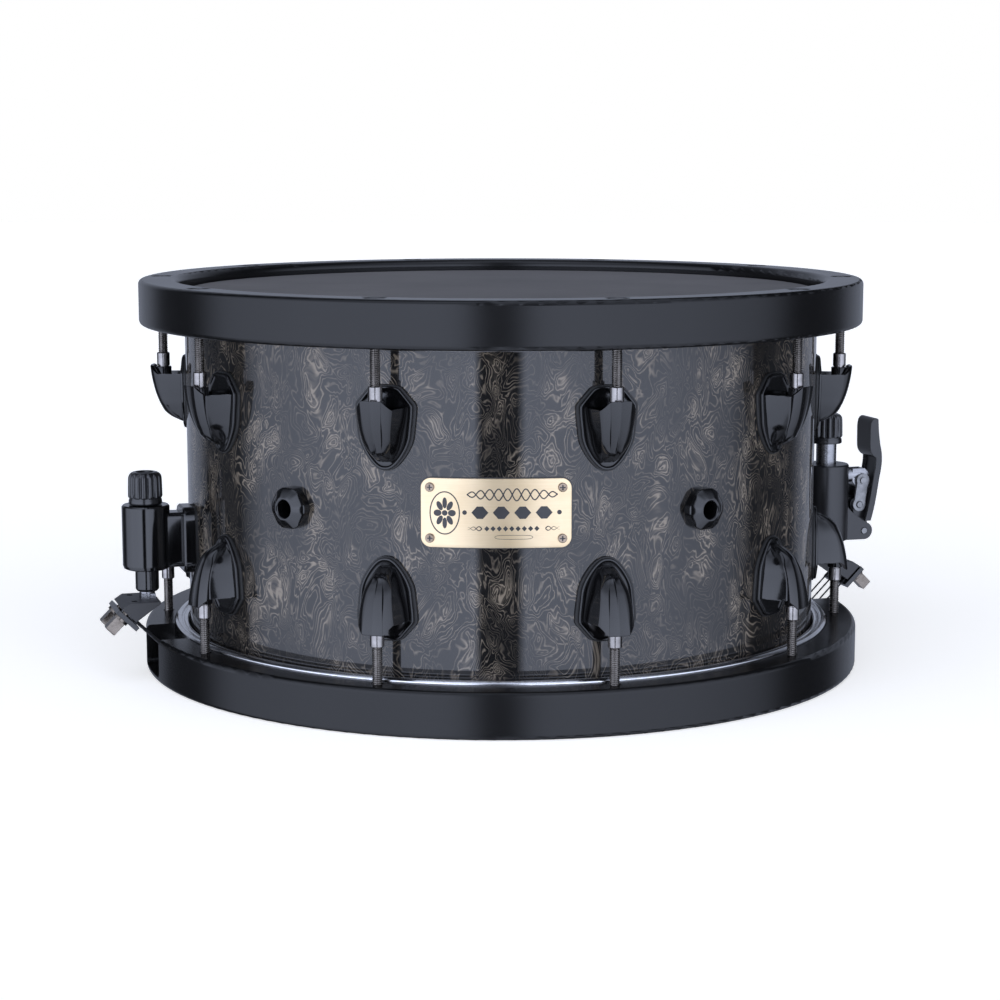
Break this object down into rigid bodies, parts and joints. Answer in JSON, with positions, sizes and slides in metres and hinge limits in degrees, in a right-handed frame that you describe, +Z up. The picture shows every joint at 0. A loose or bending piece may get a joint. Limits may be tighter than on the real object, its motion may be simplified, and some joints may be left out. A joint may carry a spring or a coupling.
{
  "type": "snare drum",
  "caption": "Deep snare drum with figured wood shell, thick black hoops, cast lugs, key-rod tuning, lever throw-off, adjustable butt end and snare wires.",
  "frame": {"origin": "on the drum's axis, in the plane of the bottom hoop's lower face, where the drum rests", "axes": "+Z up along the drum's axis; the badge faces -Y; the throw-off is 18 degrees behind +X and the butt end opposite it"},
  "size_m": [0.4471, 0.404, 0.2165],
  "materials": {
    "shell_veneer": "burl veneer, smoke stain under gloss lacquer",
    "head_film": "black suede film",
    "clear_film": "thin hazy film",
    "flesh_aluminium": "turned",
    "hoop_lacquer": "maple, satin black lacquer",
    "black_casting": "gloss black",
    "gasket_rubber": "matt",
    "bright_nickel": "polished",
    "rod_nickel": "dark nickel",
    "plain_steel": "brushed",
    "badge_brass": "antique brass",
    "vent_black": "gloss black",
    "knob_black": "satin black",
    "clamp_grey": "satin grey",
    "lever_black": "satin black",
    "snare_steel": "bright",
    "cord_black": "braided nylon"
  },
  "bodies": {
    "drum": {"shell": "shell_veneer", "batter_head": "head_film", "batter_flesh_hoop": "flesh_aluminium", "batter_hoop": "hoop_lacquer", "snare_side_head": "clear_film", "snare_side_flesh_hoop": "flesh_aluminium", "snare_side_hoop": "hoop_lacquer", "upper_lugs": "black_casting", "lower_lugs": "black_casting", "lug_gaskets": "gasket_rubber", "swivel_nuts": "bright_nickel", "hoop_inserts": "bright_nickel", "mounting_screws": "plain_steel", "badge_plate": "badge_brass", "badge_screws": "badge_brass", "vent_bolts": "vent_black", "vent_nuts": "plain_steel", "bracket_gaskets": "gasket_rubber", "butt_housing": "black_casting", "throwoff_housing": "black_casting", "lever_pivot_pin": "plain_steel", "snare_wires": "snare_steel", "snare_end_plates": "snare_steel", "throwoff_cords": "cord_black", "butt_cords": "cord_black"},
    "lever": {"throwoff_lever": "lever_black", "lever_link_pin": "plain_steel"},
    "link": {"link_plates": "plain_steel", "link_rivets": "plain_steel"},
    "carriage": {"throwoff_carriage": "plain_steel"},
    "throwoff_knob": {"throwoff_knob": "knob_black"},
    "throwoff_clamp": {"throwoff_stem": "plain_steel", "throwoff_clamp_block": "clamp_grey", "throwoff_clamp_jaw": "black_casting", "throwoff_clamp_bolts": "rod_nickel"},
    "butt_knob": {"butt_knob": "knob_black"},
    "butt_clamp": {"butt_stem": "plain_steel", "butt_clamp_block": "clamp_grey", "butt_clamp_jaw": "black_casting", "butt_clamp_bolts": "rod_nickel"},
    "tension_rod_upper_01": {"tension_rod_upper_01": "rod_nickel"},
    "tension_rod_lower_01": {"tension_rod_lower_01": "rod_nickel"},
    "tension_rod_upper_02": {"tension_rod_upper_02": "rod_nickel"},
    "tension_rod_lower_02": {"tension_rod_lower_02": "rod_nickel"},
    "tension_rod_upper_03": {"tension_rod_upper_03": "rod_nickel"},
    "tension_rod_lower_03": {"tension_rod_lower_03": "rod_nickel"},
    "tension_rod_upper_04": {"tension_rod_upper_04": "rod_nickel"},
    "tension_rod_lower_04": {"tension_rod_lower_04": "rod_nickel"},
    "tension_rod_upper_05": {"tension_rod_upper_05": "rod_nickel"},
    "tension_rod_lower_05": {"tension_rod_lower_05": "rod_nickel"},
    "tension_rod_upper_06": {"tension_rod_upper_06": "rod_nickel"},
    "tension_rod_lower_06": {"tension_rod_lower_06": "rod_nickel"},
    "tension_rod_upper_07": {"tension_rod_upper_07": "rod_nickel"},
    "tension_rod_lower_07": {"tension_rod_lower_07": "rod_nickel"},
    "tension_rod_upper_08": {"tension_rod_upper_08": "rod_nickel"},
    "tension_rod_lower_08": {"tension_rod_lower_08": "rod_nickel"},
    "tension_rod_upper_09": {"tension_rod_upper_09": "rod_nickel"},
    "tension_rod_lower_09": {"tension_rod_lower_09": "rod_nickel"},
    "tension_rod_upper_10": {"tension_rod_upper_10": "rod_nickel"},
    "tension_rod_lower_10": {"tension_rod_lower_10": "rod_nickel"}
  },
  "joints": [
    {"name": "lever_throw", "type": "hinge", "parent": "drum", "child": "lever", "pos_m": [0.21456, 0.06971, 0.0611], "axis": [-0.309, 0.9511, 0], "range_deg": [0, 50]},
    {"name": "link_swing", "type": "hinge", "parent": "lever", "child": "link", "pos_m": [0.2118, 0.06882, 0.0769], "axis": [-0.309, 0.9511, 0], "range_deg": [-107.68, 0]},
    {"name": "carriage_drop", "type": "slide", "parent": "drum", "child": "carriage", "axis": [0, 0, -1], "range_m": [0, 0.00829], "deforming": ["throwoff_cords"]},
    {"name": "throwoff_knob_turn", "type": "hinge", "parent": "carriage", "child": "throwoff_knob", "pos_m": [0.19306, 0.06273, 0.12], "axis": [0, 0, 1], "range_deg": [-360, 360]},
    {"name": "throwoff_clamp_rise", "type": "slide", "parent": "carriage", "child": "throwoff_clamp", "axis": [0, 0, 1], "range_m": [-0.00115, 0.00115]},
    {"name": "butt_knob_turn", "type": "hinge", "parent": "drum", "child": "butt_knob", "pos_m": [-0.19306, -0.06273, 0.105], "axis": [0, 0, 1], "range_deg": [-360, 360]},
    {"name": "butt_clamp_rise", "type": "slide", "parent": "drum", "child": "butt_clamp", "axis": [0, 0, 1], "range_m": [-0.00115, 0.00115], "deforming": ["butt_cords"]},
    {"name": "tune_upper_01", "type": "hinge", "parent": "drum", "child": "tension_rod_upper_01", "pos_m": [0.05915, -0.18203, 0.19], "axis": [0, 0, 1], "continuous": true},
    {"name": "tune_lower_01", "type": "hinge", "parent": "drum", "child": "tension_rod_lower_01", "pos_m": [0.05915, -0.18203, 0.03], "axis": [0, 0, 1], "continuous": true},
    {"name": "tune_upper_02", "type": "hinge", "parent": "drum", "child": "tension_rod_upper_02", "pos_m": [0.15485, -0.1125, 0.19], "axis": [0, 0, 1], "continuous": true},
    {"name": "tune_lower_02", "type": "hinge", "parent": "drum", "child": "tension_rod_lower_02", "pos_m": [0.15485, -0.1125, 0.03], "axis": [0, 0, 1], "continuous": true},
    {"name": "tune_upper_03", "type": "hinge", "parent": "drum", "child": "tension_rod_upper_03", "pos_m": [0.1914, 0, 0.19], "axis": [0, 0, 1], "continuous": true},
    {"name": "tune_lower_03", "type": "hinge", "parent": "drum", "child": "tension_rod_lower_03", "pos_m": [0.1914, 0, 0.03], "axis": [0, 0, 1], "continuous": true},
    {"name": "tune_upper_04", "type": "hinge", "parent": "drum", "child": "tension_rod_upper_04", "pos_m": [0.15485, 0.1125, 0.19], "axis": [0, 0, 1], "continuous": true},
    {"name": "tune_lower_04", "type": "hinge", "parent": "drum", "child": "tension_rod_lower_04", "pos_m": [0.15485, 0.1125, 0.03], "axis": [0, 0, 1], "continuous": true},
    {"name": "tune_upper_05", "type": "hinge", "parent": "drum", "child": "tension_rod_upper_05", "pos_m": [0.05915, 0.18203, 0.19], "axis": [0, 0, 1], "continuous": true},
    {"name": "tune_lower_05", "type": "hinge", "parent": "drum", "child": "tension_rod_lower_05", "pos_m": [0.05915, 0.18203, 0.03], "axis": [0, 0, 1], "continuous": true},
    {"name": "tune_upper_06", "type": "hinge", "parent": "drum", "child": "tension_rod_upper_06", "pos_m": [-0.05915, 0.18203, 0.19], "axis": [0, 0, 1], "continuous": true},
    {"name": "tune_lower_06", "type": "hinge", "parent": "drum", "child": "tension_rod_lower_06", "pos_m": [-0.05915, 0.18203, 0.03], "axis": [0, 0, 1], "continuous": true},
    {"name": "tune_upper_07", "type": "hinge", "parent": "drum", "child": "tension_rod_upper_07", "pos_m": [-0.15485, 0.1125, 0.19], "axis": [0, 0, 1], "continuous": true},
    {"name": "tune_lower_07", "type": "hinge", "parent": "drum", "child": "tension_rod_lower_07", "pos_m": [-0.15485, 0.1125, 0.03], "axis": [0, 0, 1], "continuous": true},
    {"name": "tune_upper_08", "type": "hinge", "parent": "drum", "child": "tension_rod_upper_08", "pos_m": [-0.1914, 0, 0.19], "axis": [0, 0, 1], "continuous": true},
    {"name": "tune_lower_08", "type": "hinge", "parent": "drum", "child": "tension_rod_lower_08", "pos_m": [-0.1914, 0, 0.03], "axis": [0, 0, 1], "continuous": true},
    {"name": "tune_upper_09", "type": "hinge", "parent": "drum", "child": "tension_rod_upper_09", "pos_m": [-0.15485, -0.1125, 0.19], "axis": [0, 0, 1], "continuous": true},
    {"name": "tune_lower_09", "type": "hinge", "parent": "drum", "child": "tension_rod_lower_09", "pos_m": [-0.15485, -0.1125, 0.03], "axis": [0, 0, 1], "continuous": true},
    {"name": "tune_upper_10", "type": "hinge", "parent": "drum", "child": "tension_rod_upper_10", "pos_m": [-0.05915, -0.18203, 0.19], "axis": [0, 0, 1], "continuous": true},
    {"name": "tune_lower_10", "type": "hinge", "parent": "drum", "child": "tension_rod_lower_10", "pos_m": [-0.05915, -0.18203, 0.03], "axis": [0, 0, 1], "continuous": true}
  ],
  "couplings": [
    {"joint": "carriage_drop", "follows": "lever_throw", "m_per_rad": 0.0094747},
    {"joint": "link_swing", "follows": "lever_throw", "ratio": -2.1496},
    {"joint": "throwoff_clamp_rise", "follows": "throwoff_knob_turn", "m_per_rad": 0.00015915},
    {"joint": "butt_clamp_rise", "follows": "butt_knob_turn", "m_per_rad": 0.00015915}
  ]
}
